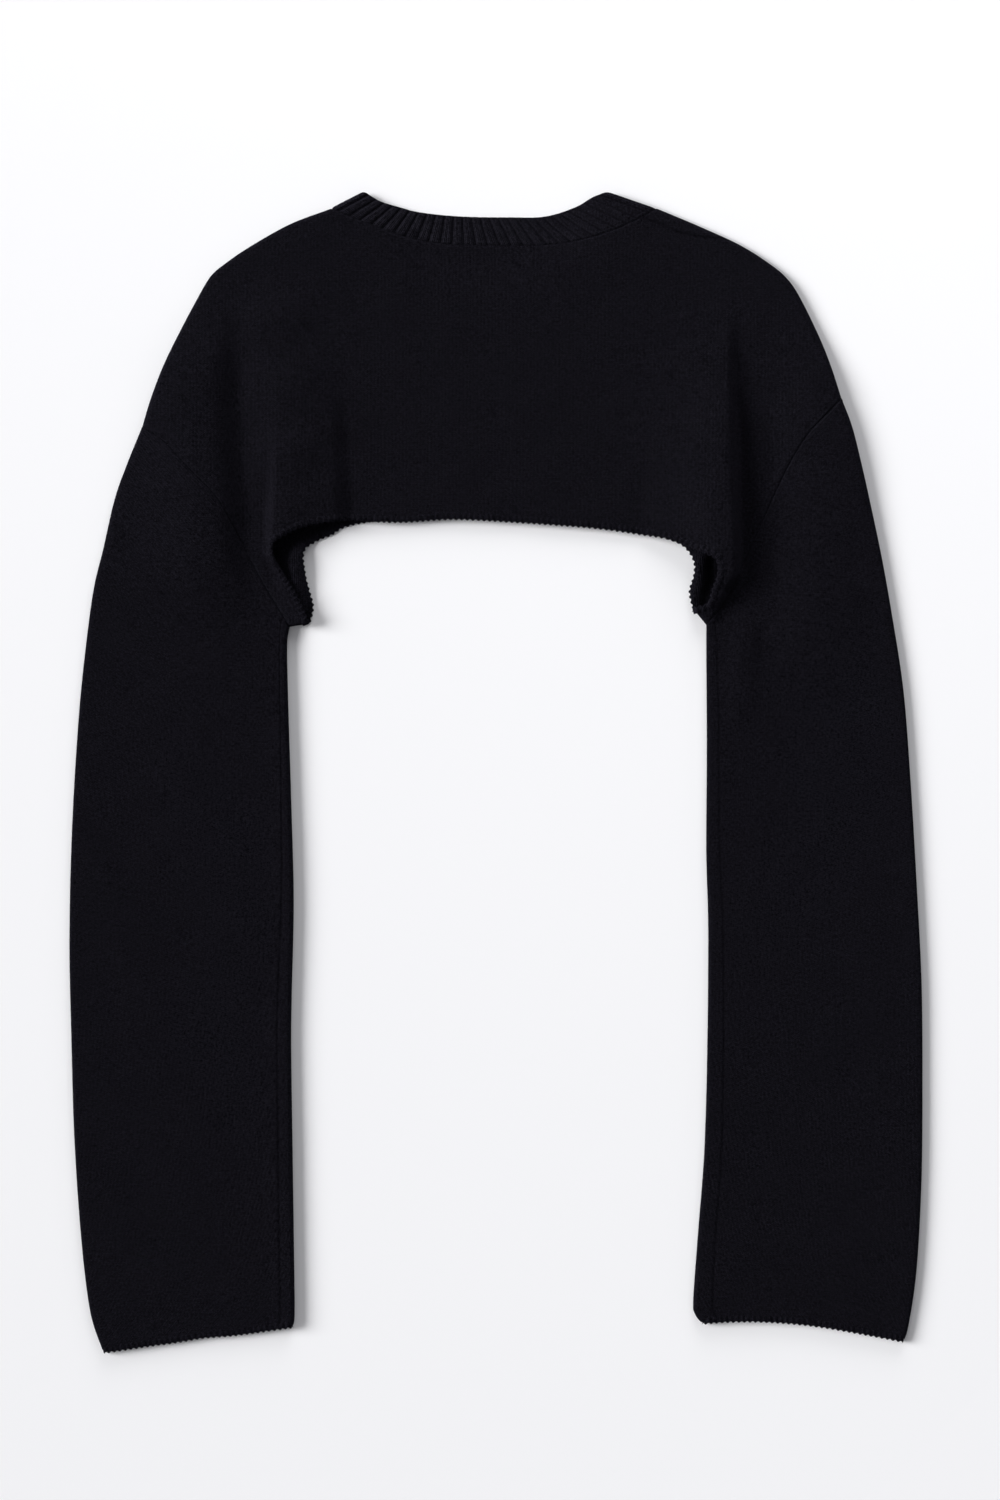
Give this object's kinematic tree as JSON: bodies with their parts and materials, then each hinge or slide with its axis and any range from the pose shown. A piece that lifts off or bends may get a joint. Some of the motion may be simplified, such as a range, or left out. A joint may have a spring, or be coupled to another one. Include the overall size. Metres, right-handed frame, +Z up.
{
  "type": "cropped sweater",
  "caption": "Cropped knitted sweater lying flat with its back up: short boxy body, dropped shoulders, long straight sleeves and a ribbed round neckband.",
  "frame": {"origin": "middle of the box round the sweater, on the surface it lies on", "axes": "+Y runs from the cuffs to the neck, +X to the right with the back up, +Z up from the surface"},
  "size_m": [0.6133, 0.8347, 0.0153],
  "materials": {
    "knit": "matt wool, fine plain knit",
    "ribbing": "matt wool, ribbed knit"
  },
  "bodies": {
    "root": {"back_panel": "knit", "front_panel": "knit", "sleeve_left": "knit", "sleeve_right": "knit", "neckband": "ribbing"}
  },
  "joints": []
}
